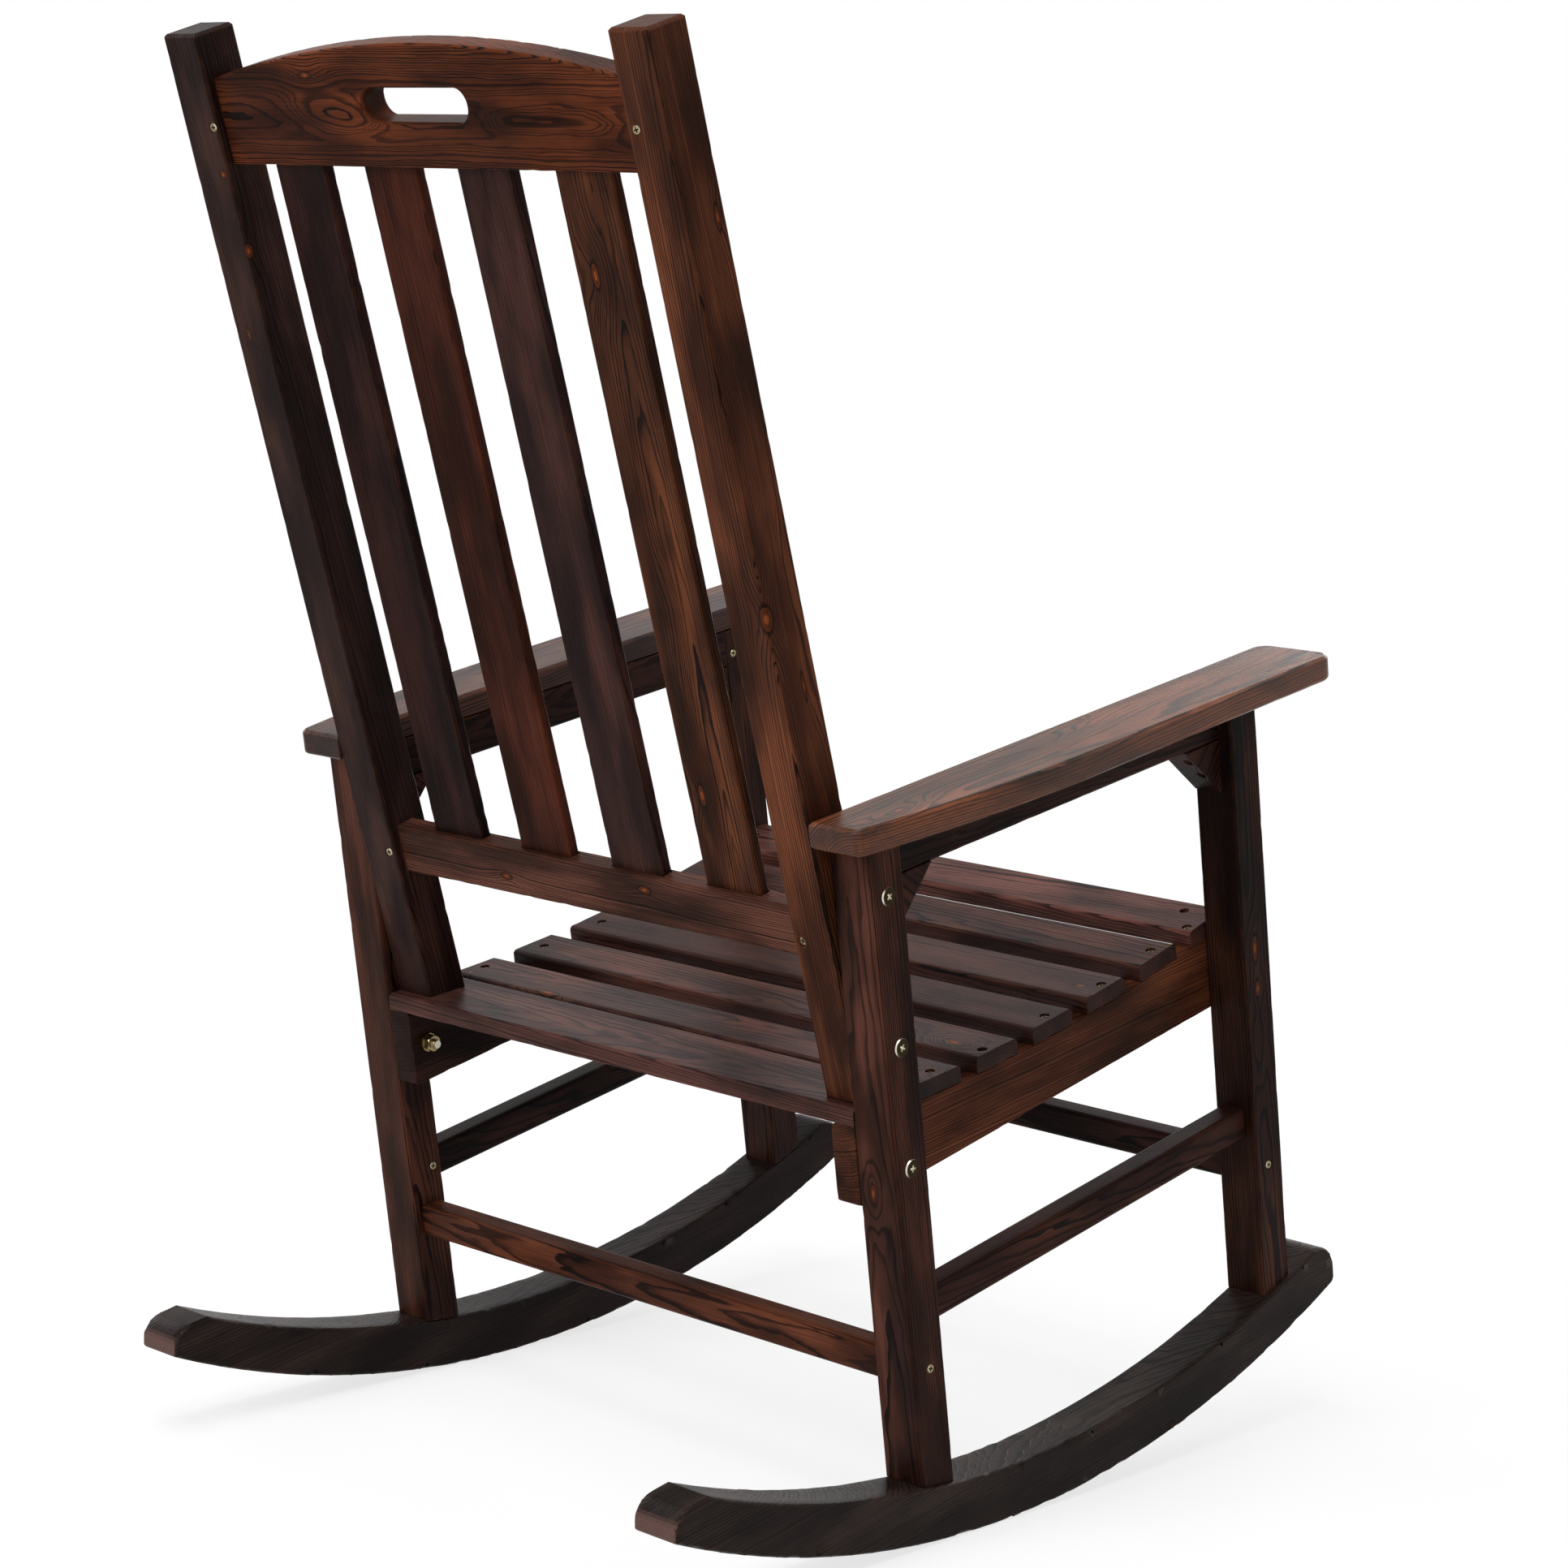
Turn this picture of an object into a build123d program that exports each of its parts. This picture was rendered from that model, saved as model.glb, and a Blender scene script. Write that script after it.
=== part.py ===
from build123d import *
from math import atan2, cos, radians, sin, sqrt, tan
import os

os.makedirs("parts", exist_ok=True)

# A slat-back porch rocking chair of softwood: two sawn rockers, four legs, a
# dished slat seat, flat arms on bracketed rails and a leaning slatted back.
# Rails and stretchers have blind tenons; the seat and the posts are bolted.
#
# Sizes are given in the chair's own frame, with the legs upright. X runs to
# the sitter's left from the middle, y to the rear from the rear legs' rear
# faces, and heights are from the lowest point of the rockers. The planes below
# roll that frame back on its rockers, to where the chair comes to rest.

# ---- Driving dimensions, millimetres and degrees ----

# Balance: how far the legs lean back when the chair stands by itself, with its
# centre of mass under the centre of the rockers' arc.
rest_tilt = 10.81

# Rockers: two equal arcs, one above the other, sawn from one plank.
rocker_radius = 960
rocker_centre_y = -245
rocker_deep = 45
rocker_wide = 45
rocker_tail_y = 268
rocker_nose = 59
tail_end_high = 22.4
tail_round = 20
heel_round = 3
nose_round = 22
toe_round = 8

# Legs, four of one section under the arms.
chair_wide = 620
leg_wide = 40
leg_deep = 36
leg_clear = 410
arm_height = 597

# Seat side rails, with a dished upper edge.
seat_rail_thick = 24
seat_rail_underside = 303
seat_rail_slope = 2.56
seat_rail_bevel = 3
dish_radius = 2000
dish_low_y = -150
dish_low_height = 363

# Seat slats: a wide one at the rear, then a row of equal ones.
slat_thick = 14
slat_round = 4
rear_slat_wide = 72
rear_slat_gap = 4
slat_count = 6
slat_wide = 50
front_slat_setback = 5

# Stretchers.
stretcher_high = 28
stretcher_round = 4
side_stretcher_thick = 23
side_stretcher_setback = 10
side_stretcher_underside = 200
side_stretcher_slope = 1.33
cross_stretcher_thick = 21
rear_stretcher_y = -8
rear_stretcher_underside = 155
front_stretcher_setback = 8
front_stretcher_underside = 165

# Arms, the rails under them and the corner brackets.
arm_thick = 21
arm_wide = 76
arm_front_overhang = 64
arm_rear_overhang = 20
arm_front_round = 14
arm_rear_round = 8
arm_taper_radius = 1200
arm_taper_y = -230
arm_edge_bevel = 2.5
arm_rail_thick = 28
arm_rail_high = 34
bracket_leg = 46

# Back: leaning posts with two rails between them and upright slats.
post_lean = 8.2
post_foot_y = -13.3
post_wide = 40
post_deep = 40
post_long = 839
post_top_chamfer = 2.5
back_rail_setback = 8
lower_rail_thick = 20
lower_rail_up = 116
lower_rail_high = 42
crest_thick = 24
crest_down = 37
crest_end_high = 69
crest_rise = 26
hand_slot_long = 116
hand_slot_high = 26
hand_slot_up = 48
back_slat_count = 4
back_slat_wide = 59
back_slat_thick = 10.5
back_slat_pitch = 106
back_slat_setback = 15
back_slat_inset = 12

# Tenons and clearances.
tenon_long = 22
tenon_shoulder = 5
mortise_end_gap = 1
fit_gap = 0.2
edge_chamfer = 1.5

# Bolts, washers and nuts.
bolt_radius = 4
bolt_head_radius = 8.8
bolt_head_high = 2.4
bolt_end_bevel = 0.8
bolt_end_proud = 4.5
drive_slot_long = 7.5
drive_slot_wide = 2
drive_slot_deep = 1.6
washer_radius = 8.5
washer_thick = 1.6
nut_flats = 13
nut_high = 6.5
rear_bolt_down = 30.4
front_bolt_down = 36.8
upper_post_bolt_down = 42
lower_post_bolt_up = 53
post_bolt_bite = 30

# ---- Places that follow from them ----

leg_outer = chair_wide / 2
leg_inner = leg_outer - leg_wide
rear_leg_front_y = -leg_deep
front_leg_rear_y = rear_leg_front_y - leg_clear
front_leg_front_y = front_leg_rear_y - leg_deep
rocker_nose_y = front_leg_front_y - rocker_nose
seat_rail_inner = leg_inner - seat_rail_thick
post_inner = leg_inner - post_wide
front_slat_front_y = front_leg_front_y + front_slat_setback
front_row_y = -rear_slat_wide - rear_slat_gap
slat_pitch = (front_row_y - slat_wide - front_slat_front_y) / (slat_count - 1)
side_stretcher_mid = leg_outer - side_stretcher_setback - side_stretcher_thick / 2
arm_rail_mid = leg_inner + arm_rail_thick / 2
arm_rail_underside = arm_height - arm_rail_high
lower_rail_mid = back_rail_setback + lower_rail_thick / 2
crest_mid = back_rail_setback + crest_thick / 2
back_slat_mid = back_slat_setback + back_slat_thick / 2
crest_up = post_long - crest_down - crest_end_high
slat_foot_up = lower_rail_up + lower_rail_high - back_slat_inset
slat_head_up = crest_up + back_slat_inset

SIDES = ((1, "left"), (-1, "right"))

# ---- The resting frame ----

tilt = radians(rest_tilt)
lean = radians(post_lean)
across = Vector(1, 0, 0)
up = Vector(0, sin(tilt), cos(tilt))
rearward = Vector(0, cos(tilt), -sin(tilt))
post_up = Vector(0, sin(tilt + lean), cos(tilt + lean))
post_forward = Vector(0, -cos(tilt + lean), sin(tilt + lean))
up_axis = Axis((0, 0, 0), up)
rearward_axis = Axis((0, 0, 0), rearward)
post_axis = Axis((0, 0, 0), post_up)
forward_axis = Axis((0, 0, 0), post_forward)


def dish(y):
    """Height of the seat rails' upper edge."""
    return dish_low_height + dish_radius - sqrt(dish_radius**2 - (y - dish_low_y) ** 2)


# The posts stand on the rear slat, where its top passes under their rear faces.
rear_slat_slope = atan2(dish(0) - dish(-rear_slat_wide), rear_slat_wide)
rear_slat_top = dish(0) + slat_thick / cos(rear_slat_slope)
post_foot_height = rear_slat_top + post_foot_y * tan(rear_slat_slope)

# Bolts run through the middle of each leg: one into the seat rail below its
# dished edge, and two into each post, above the slat and below the arm.
rear_bolt_y = -leg_deep / 2
front_bolt_y = front_leg_rear_y - leg_deep / 2
rear_bolt_height = dish(rear_bolt_y) - rear_bolt_down
front_bolt_height = dish(front_bolt_y) - front_bolt_down
bolt_spots = ((rear_bolt_y, rear_bolt_height), (front_bolt_y, front_bolt_height))
post_bolt_heights = (post_foot_height + lower_post_bolt_up, arm_height - upper_post_bolt_down)
post_bolt_spots = [(rear_bolt_y, height) for height in post_bolt_heights]

# Side view of a rocker. The plank's upper edge cuts the tail off level, so that
# its end face keeps its height.
tail_reach = rocker_tail_y - rocker_centre_y
tail_rise = rocker_radius - sqrt(rocker_radius**2 - tail_reach**2)
plank_high = tail_rise + tail_end_high

with BuildSketch() as rocker_outline:
    with Locations((rocker_centre_y, rocker_radius)):
        Circle(rocker_radius)
    with Locations(((rocker_nose_y + rocker_tail_y) / 2, plank_high / 2)):
        Rectangle(rocker_tail_y - rocker_nose_y, plank_high, mode=Mode.INTERSECT)
    with Locations((rocker_centre_y, rocker_radius + rocker_deep)):
        Circle(rocker_radius, mode=Mode.SUBTRACT)
    fillet(vertices().group_by(Axis.X)[-1].sort_by(Axis.Y)[-1], tail_round)
    fillet(vertices().group_by(Axis.X)[-1].sort_by(Axis.Y)[0], heel_round)
    fillet(vertices().group_by(Axis.X)[0].sort_by(Axis.Y)[-1], nose_round)
    fillet(vertices().group_by(Axis.X)[0].sort_by(Axis.Y)[0], toe_round)

# Rolled back, the centre of the sole stays one radius above the floor, and the
# origin lies midway between the rockers' noses and the rearmost point, which is
# the rockers' tail or the top of the posts.
rolled_rocker = rocker_outline.sketch.rotate(Axis.Z, -rest_tilt).bounding_box()
rolled_centre = rocker_radius * cos(tilt) - rocker_centre_y * sin(tilt)
post_edge_long = post_long - post_top_chamfer
post_edge_y = post_foot_y + post_edge_long * sin(lean)
post_edge_height = post_foot_height + post_edge_long * cos(lean)
rolled_post_edge = post_edge_y * cos(tilt) + post_edge_height * sin(tilt)
rolled_rear = max(rolled_rocker.max.X, rolled_post_edge)
chair_origin = Vector(0, -(rolled_rocker.min.X + rolled_rear) / 2, rocker_radius - rolled_centre)


def at(x, y, height):
    """World point of a place given in the chair's own frame."""
    return chair_origin + across * x + rearward * y + up * height


def side_plane(x):
    """Facing the sitter's left: local x is y, local y is height."""
    return Plane(origin=at(x, 0, 0), x_dir=rearward, z_dir=across)


def plan_plane(height):
    """Facing up the legs: local x is X, local y is y."""
    return Plane(origin=at(0, 0, height), x_dir=across, z_dir=up)


def cross_plane(y):
    """Facing forward across the chair: local x is X, local y is height."""
    return Plane(origin=at(0, y, 0), x_dir=across, z_dir=-rearward)


def facing_plane(x, y, height, side):
    """Facing away from the chair's middle, or towards it where side is turned."""
    return Plane(origin=at(x, y, height), x_dir=rearward, z_dir=across * side)


def slat_plane(rear_y, wide):
    """Underside of a seat slat that rests its two edges on the dished rails."""
    rear_edge = at(0, rear_y, dish(rear_y))
    front_edge = at(0, rear_y - wide, dish(rear_y - wide))
    run = (rear_edge - front_edge).normalized()
    return Plane(origin=(rear_edge + front_edge) * 0.5, x_dir=across, z_dir=across.cross(run))


post_foot = at(0, post_foot_y, post_foot_height)


def back_plane(setback):
    """Facing forward in the back: local x is X, local y runs up the posts."""
    return Plane(origin=post_foot + post_forward * setback, x_dir=across, z_dir=post_forward)


def post_plane(x):
    """Side view of the back: local x runs to the rear, local y up the posts."""
    return Plane(origin=post_foot + across * x, x_dir=-post_forward, z_dir=across)


def rung_plane(height):
    """Facing up the posts across them: local x is X, local y runs to the rear."""
    return Plane(origin=post_foot + post_up * height, x_dir=across, z_dir=post_up)


# ---- Rockers ----

for side, hand in SIDES:
    with BuildPart() as rocker:
        with BuildSketch(side_plane(side * leg_inner)):
            add(rocker_outline.sketch)
        extrude(amount=side * rocker_wide)
        chamfer(rocker.faces().filter_by(Axis.X).edges(), edge_chamfer)
    rocker.part.label = f"rocker_{hand}"
    export_step(rocker.part, f"parts/rocker_{hand}.step")

# ---- Legs ----

# Each leg's foot is cut to the rocker's upper edge. Its inward face has the
# mortises of the side stretcher and the arm rail, and its side the bolt holes.
stretcher_climb = leg_clear * tan(radians(side_stretcher_slope))
rear_stretcher_mid = side_stretcher_underside + stretcher_high / 2
front_stretcher_mid = rear_stretcher_mid + stretcher_climb
arm_rail_mid_height = arm_rail_underside + arm_rail_high / 2
leg_rows = (
    ("rear", 0, rear_leg_front_y, -1, rear_stretcher_mid, (rear_bolt_height, *post_bolt_heights)),
    ("front", front_leg_rear_y, front_leg_rear_y, 1, front_stretcher_mid, (front_bolt_height,)),
)

for side, hand in SIDES:
    for place, rear_y, mortise_y, inward, stretcher_mid, bolt_heights in leg_rows:
        with BuildPart() as leg:
            with BuildSketch(side_plane(side * leg_inner)):
                with Locations((rear_y - leg_deep / 2, arm_height / 2)):
                    Rectangle(leg_deep, arm_height)
                with Locations((rocker_centre_y, rocker_radius + rocker_deep)):
                    Circle(rocker_radius, mode=Mode.INTERSECT)
            extrude(amount=side * leg_wide)
            chamfer(leg.edges().filter_by(up_axis), edge_chamfer)
            with BuildSketch(cross_plane(mortise_y)):
                with Locations((side * side_stretcher_mid, stretcher_mid)):
                    Rectangle(
                        side_stretcher_thick - 2 * tenon_shoulder + 2 * fit_gap,
                        stretcher_high - 2 * tenon_shoulder + 2 * fit_gap,
                    )
                with Locations((side * arm_rail_mid, arm_rail_mid_height)):
                    Rectangle(
                        arm_rail_thick - 2 * tenon_shoulder + 2 * fit_gap,
                        arm_rail_high - 2 * tenon_shoulder + 2 * fit_gap,
                    )
            extrude(amount=inward * (tenon_long + mortise_end_gap), mode=Mode.SUBTRACT)
            with Locations(side_plane(side * leg_outer)):
                with Locations(*[(rear_y - leg_deep / 2, height) for height in bolt_heights]):
                    Hole(bolt_radius + fit_gap)
        leg.part.label = f"{place}_leg_{hand}"
        export_step(leg.part, f"parts/{place}_leg_{hand}.step")

# ---- Seat rails ----

rail_fall = -front_leg_front_y * tan(radians(seat_rail_slope))

for side, hand in SIDES:
    with BuildPart() as seat_rail:
        with BuildSketch(side_plane(side * seat_rail_inner)):
            Polygon(
                (0, seat_rail_underside),
                (0, arm_height),
                (front_leg_front_y, arm_height),
                (front_leg_front_y, seat_rail_underside + rail_fall),
                align=None,
            )
            with Locations((dish_low_y, dish_low_height + dish_radius)):
                Circle(dish_radius, mode=Mode.SUBTRACT)
        extrude(amount=side * seat_rail_thick)
        inner_face = seat_rail.faces().filter_by(Axis.X).sort_by(Axis.X)[0 if side > 0 else -1]
        chamfer(inner_face.edges().filter_by(GeomType.CIRCLE), seat_rail_bevel)
        lower_edges = seat_rail.edges().group_by(up_axis)[0]
        chamfer(lower_edges.filter_by(GeomType.LINE), edge_chamfer)
        with Locations(side_plane(side * seat_rail_inner)):
            with Locations(*bolt_spots):
                Hole(bolt_radius + fit_gap)
    seat_rail.part.label = f"seat_rail_{hand}"
    export_step(seat_rail.part, f"parts/seat_rail_{hand}.step")

# ---- Seat slats ----

slat_rows = [(0, rear_slat_wide)]
slat_rows += [(front_row_y - slat_pitch * number, slat_wide) for number in range(slat_count)]

for number, (rear_y, wide) in enumerate(slat_rows, 1):
    bed = slat_plane(rear_y, wide)
    with BuildPart() as slat:
        with BuildSketch(bed):
            Rectangle(2 * (leg_inner - fit_gap), wide)
        extrude(amount=slat_thick)
        top_face = slat.faces().sort_by(Axis(bed.origin, bed.z_dir))[-1]
        fillet(top_face.edges().filter_by(Axis.X), slat_round)
    slat.part.label = f"seat_slat_{number}"
    export_step(slat.part, f"parts/seat_slat_{number}.step")

# ---- Side stretchers ----

stretcher_axis = Axis((0, 0, 0), up * stretcher_climb - rearward * leg_clear)

for side, hand in SIDES:
    with BuildPart() as side_stretcher:
        with BuildSketch(side_plane(side * (side_stretcher_mid - side_stretcher_thick / 2))):
            Polygon(
                (rear_leg_front_y, side_stretcher_underside),
                (rear_leg_front_y, side_stretcher_underside + stretcher_high),
                (front_leg_rear_y, side_stretcher_underside + stretcher_high + stretcher_climb),
                (front_leg_rear_y, side_stretcher_underside + stretcher_climb),
                align=None,
            )
        extrude(amount=side * side_stretcher_thick)
        fillet(side_stretcher.edges().filter_by(stretcher_axis), stretcher_round)
        for shoulder_y, outward, mid in (
            (rear_leg_front_y, -1, rear_stretcher_mid),
            (front_leg_rear_y, 1, front_stretcher_mid),
        ):
            with BuildSketch(cross_plane(shoulder_y)):
                with Locations((side * side_stretcher_mid, mid)):
                    Rectangle(
                        side_stretcher_thick - 2 * tenon_shoulder,
                        stretcher_high - 2 * tenon_shoulder,
                    )
            extrude(amount=outward * tenon_long)
    side_stretcher.part.label = f"side_stretcher_{hand}"
    export_step(side_stretcher.part, f"parts/side_stretcher_{hand}.step")

# ---- Cross stretchers ----

# These butt against the legs' inner faces.
cross_rows = (
    ("rear_stretcher", rear_stretcher_y, rear_stretcher_underside),
    (
        "front_stretcher",
        front_leg_front_y + front_stretcher_setback + cross_stretcher_thick,
        front_stretcher_underside,
    ),
)

for name, rear_y, underside in cross_rows:
    with BuildPart() as cross_stretcher:
        with BuildSketch(side_plane(-leg_inner)):
            with Locations((rear_y - cross_stretcher_thick / 2, underside + stretcher_high / 2)):
                RectangleRounded(cross_stretcher_thick, stretcher_high, stretcher_round)
        extrude(amount=2 * leg_inner)
    cross_stretcher.part.label = name
    export_step(cross_stretcher.part, f"parts/{name}.step")

# ---- Arm rails and brackets ----

for side, hand in SIDES:
    with BuildPart() as arm_rail:
        with BuildSketch(cross_plane(rear_leg_front_y)):
            with Locations((side * arm_rail_mid, arm_rail_mid_height)):
                Rectangle(arm_rail_thick, arm_rail_high)
        extrude(amount=leg_clear)
        lower_edges = arm_rail.edges().filter_by(rearward_axis).group_by(up_axis)[0]
        chamfer(lower_edges, edge_chamfer)
        for shoulder_y, outward in ((rear_leg_front_y, -1), (front_leg_rear_y, 1)):
            with BuildSketch(cross_plane(shoulder_y)):
                with Locations((side * arm_rail_mid, arm_rail_mid_height)):
                    Rectangle(
                        arm_rail_thick - 2 * tenon_shoulder,
                        arm_rail_high - 2 * tenon_shoulder,
                    )
            extrude(amount=outward * tenon_long)
    arm_rail.part.label = f"arm_rail_{hand}"
    export_step(arm_rail.part, f"parts/arm_rail_{hand}.step")

    # A triangular bracket fills each corner between the rail and a leg.
    for place, corner_y, inward in (("rear", rear_leg_front_y, -1), ("front", front_leg_rear_y, 1)):
        with BuildPart() as bracket:
            with BuildSketch(side_plane(side * leg_inner)):
                Polygon(
                    (corner_y, arm_rail_underside),
                    (corner_y + inward * bracket_leg, arm_rail_underside),
                    (corner_y, arm_rail_underside - bracket_leg),
                    align=None,
                )
            extrude(amount=side * arm_rail_thick)
        bracket.part.label = f"arm_bracket_{place}_{hand}"
        export_step(bracket.part, f"parts/arm_bracket_{place}_{hand}.step")

# ---- Arms ----

# The outer edge runs straight from the front, then draws in on a long arc.
arm_front_y = front_leg_front_y - arm_front_overhang
arm_inner = leg_inner + fit_gap
arm_outer = arm_inner + arm_wide
arm_taper_long = arm_rear_overhang - arm_taper_y
arm_rear_outer = arm_outer - arm_taper_radius + sqrt(arm_taper_radius**2 - arm_taper_long**2)

for side, hand in SIDES:
    with BuildPart() as arm:
        with BuildSketch(plan_plane(arm_height)):
            with BuildLine():
                Polyline(
                    (side * arm_rear_outer, arm_rear_overhang),
                    (side * arm_inner, arm_rear_overhang),
                    (side * arm_inner, arm_front_y),
                    (side * arm_outer, arm_front_y),
                    (side * arm_outer, arm_taper_y),
                )
                TangentArc(
                    (side * arm_outer, arm_taper_y),
                    (side * arm_rear_outer, arm_rear_overhang),
                    tangent=(0, 1),
                )
            make_face()
            fillet(vertices().group_by(Axis.Y)[0], arm_front_round)
            rear_corners = vertices().group_by(Axis.Y)[-1].sort_by(Axis.X)
            fillet(rear_corners[-1 if side > 0 else 0], arm_rear_round)
        extrude(amount=arm_thick)
        chamfer(arm.faces().sort_by(up_axis)[-1].edges(), arm_edge_bevel)
        chamfer(arm.faces().sort_by(up_axis)[0].edges(), edge_chamfer)
    arm.part.label = f"arm_{hand}"
    export_step(arm.part, f"parts/arm_{hand}.step")

# ---- Back posts ----

# Each post leans from the rear slat beside its leg, its foot cut to the slat.
crest_mid_up = crest_up + crest_end_high / 2
lower_rail_mid_up = lower_rail_up + lower_rail_high / 2

for side, hand in SIDES:
    with BuildPart() as post:
        with BuildSketch(post_plane(side * post_inner)):
            with Locations((-post_deep / 2, 0)):
                Rectangle(post_deep, 2 * post_long)
        extrude(amount=side * post_wide)
        split(bisect_by=slat_plane(0, rear_slat_wide).offset(slat_thick), keep=Keep.TOP)
        chamfer(post.faces().sort_by(post_axis)[-1].edges(), post_top_chamfer)
        chamfer(post.edges().filter_by(post_axis), edge_chamfer)
        with BuildSketch(post_plane(side * post_inner)):
            with Locations((-crest_mid, crest_mid_up)):
                Rectangle(
                    crest_thick - 2 * tenon_shoulder + 2 * fit_gap,
                    crest_end_high - 2 * tenon_shoulder + 2 * fit_gap,
                )
            with Locations((-lower_rail_mid, lower_rail_mid_up)):
                Rectangle(
                    lower_rail_thick - 2 * tenon_shoulder + 2 * fit_gap,
                    lower_rail_high - 2 * tenon_shoulder + 2 * fit_gap,
                )
        extrude(amount=side * (tenon_long + mortise_end_gap), mode=Mode.SUBTRACT)
        with Locations(*[facing_plane(side * leg_inner, *spot, side) for spot in post_bolt_spots]):
            Hole(bolt_radius + fit_gap, depth=post_bolt_bite + mortise_end_gap)
    post.part.label = f"back_post_{hand}"
    export_step(post.part, f"parts/back_post_{hand}.step")

# ---- Back rails ----

# The slats' ends are housed whole in both rails.
with BuildPart() as crest_rail:
    with BuildSketch(back_plane(back_rail_setback)):
        with BuildLine():
            Polyline(
                (-post_inner, crest_up + crest_end_high),
                (-post_inner, crest_up),
                (post_inner, crest_up),
                (post_inner, crest_up + crest_end_high),
            )
            ThreePointArc(
                (post_inner, crest_up + crest_end_high),
                (0, crest_up + crest_end_high + crest_rise),
                (-post_inner, crest_up + crest_end_high),
            )
        make_face()
        with Locations((0, crest_up + hand_slot_up)):
            SlotOverall(hand_slot_long, hand_slot_high, mode=Mode.SUBTRACT)
    extrude(amount=crest_thick)
    broad_faces = crest_rail.faces().filter_by(forward_axis)
    chamfer(broad_faces.edges().filter_by(GeomType.CIRCLE), edge_chamfer)
    for side, hand in SIDES:
        with BuildSketch(post_plane(side * post_inner)):
            with Locations((-crest_mid, crest_mid_up)):
                Rectangle(crest_thick - 2 * tenon_shoulder, crest_end_high - 2 * tenon_shoulder)
        extrude(amount=side * tenon_long)
    with BuildSketch(rung_plane(crest_up)):
        with Locations((0, -back_slat_mid)):
            with GridLocations(back_slat_pitch, 1, back_slat_count, 1):
                Rectangle(back_slat_wide + 2 * fit_gap, back_slat_thick + 2 * fit_gap)
    extrude(amount=back_slat_inset + mortise_end_gap, mode=Mode.SUBTRACT)
crest_rail.part.label = "crest_rail"
export_step(crest_rail.part, "parts/crest_rail.step")

with BuildPart() as lower_rail:
    with BuildSketch(back_plane(back_rail_setback)):
        with Locations((0, lower_rail_mid_up)):
            Rectangle(2 * post_inner, lower_rail_high)
    extrude(amount=lower_rail_thick)
    chamfer(lower_rail.edges().filter_by(Axis.X), edge_chamfer)
    for side, hand in SIDES:
        with BuildSketch(post_plane(side * post_inner)):
            with Locations((-lower_rail_mid, lower_rail_mid_up)):
                Rectangle(lower_rail_thick - 2 * tenon_shoulder, lower_rail_high - 2 * tenon_shoulder)
        extrude(amount=side * tenon_long)
    with BuildSketch(rung_plane(lower_rail_up + lower_rail_high)):
        with Locations((0, -back_slat_mid)):
            with GridLocations(back_slat_pitch, 1, back_slat_count, 1):
                Rectangle(back_slat_wide + 2 * fit_gap, back_slat_thick + 2 * fit_gap)
    extrude(amount=-back_slat_inset - mortise_end_gap, mode=Mode.SUBTRACT)
lower_rail.part.label = "lower_back_rail"
export_step(lower_rail.part, "parts/lower_back_rail.step")

# ---- Back slats ----

for number in range(back_slat_count):
    with BuildPart() as back_slat:
        with BuildSketch(rung_plane(slat_foot_up)):
            with Locations(((number - (back_slat_count - 1) / 2) * back_slat_pitch, -back_slat_mid)):
                Rectangle(back_slat_wide, back_slat_thick)
        extrude(amount=slat_head_up - slat_foot_up)
        chamfer(back_slat.edges().filter_by(post_axis), edge_chamfer)
    back_slat.part.label = f"back_slat_{number + 1}"
    export_step(back_slat.part, f"parts/back_slat_{number + 1}.step")

# ---- Bolts, washers and nuts ----


def flat_bolt(shank_long):
    """Bolt along Z with a flat head above the origin and a cross recess in it."""
    with BuildPart() as bolt:
        with BuildSketch(Plane.XZ):
            with BuildLine():
                Polyline(
                    (0, bolt_head_high),
                    (0, -shank_long),
                    (bolt_radius, -shank_long),
                    (bolt_radius, 0),
                    (bolt_head_radius, 0),
                    (bolt_head_radius, bolt_head_high),
                    close=True,
                )
            make_face()
        revolve(axis=Axis.Z)
        with BuildSketch(Plane.XY.offset(bolt_head_high)):
            Rectangle(drive_slot_long, drive_slot_wide)
            Rectangle(drive_slot_wide, drive_slot_long)
        extrude(amount=-drive_slot_deep, mode=Mode.SUBTRACT)
    return bolt.part


# The seat bolts come out through their nuts, so their ends are bevelled.
with BuildPart() as seat_bolt:
    add(flat_bolt(leg_wide + seat_rail_thick + washer_thick + nut_high + bolt_end_proud))
    chamfer(seat_bolt.edges().sort_by(Axis.Z)[0], bolt_end_bevel)

post_bolt = flat_bolt(leg_wide + post_bolt_bite)
seat_bolt_places = [(side, spot) for side, hand in SIDES for spot in bolt_spots]
post_bolt_places = [(side, spot) for side, hand in SIDES for spot in post_bolt_spots]

with BuildPart() as seat_bolts:
    with Locations(*[facing_plane(side * leg_outer, *spot, side) for side, spot in seat_bolt_places]):
        add(seat_bolt.part)
seat_bolts.part.label = "seat_bolts"
export_step(seat_bolts.part, "parts/seat_bolts.step")

with BuildPart() as post_bolts:
    with Locations(*[facing_plane(side * leg_outer, *spot, side) for side, spot in post_bolt_places]):
        add(post_bolt)
post_bolts.part.label = "post_bolts"
export_step(post_bolts.part, "parts/post_bolts.step")

# Washers and nuts close the seat bolts on the rails' inner faces.
nut_planes = [facing_plane(side * seat_rail_inner, *spot, -side) for side, spot in seat_bolt_places]

for name, outline, start, thick in (
    ("seat_washers", Circle(washer_radius), 0, washer_thick),
    ("seat_nuts", RegularPolygon(nut_flats / 2, 6, major_radius=False), washer_thick, nut_high),
):
    with BuildPart() as hardware:
        for plane in nut_planes:
            with BuildSketch(plane.offset(start)):
                add(outline)
                Circle(bolt_radius + fit_gap, mode=Mode.SUBTRACT)
            extrude(amount=thick)
    hardware.part.label = name
    export_step(hardware.part, f"parts/{name}.step")
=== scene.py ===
from functools import partial
from math import cos, pi, radians, sin

import bmesh
import bpy
from mathutils import Matrix, Vector, noise


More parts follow.
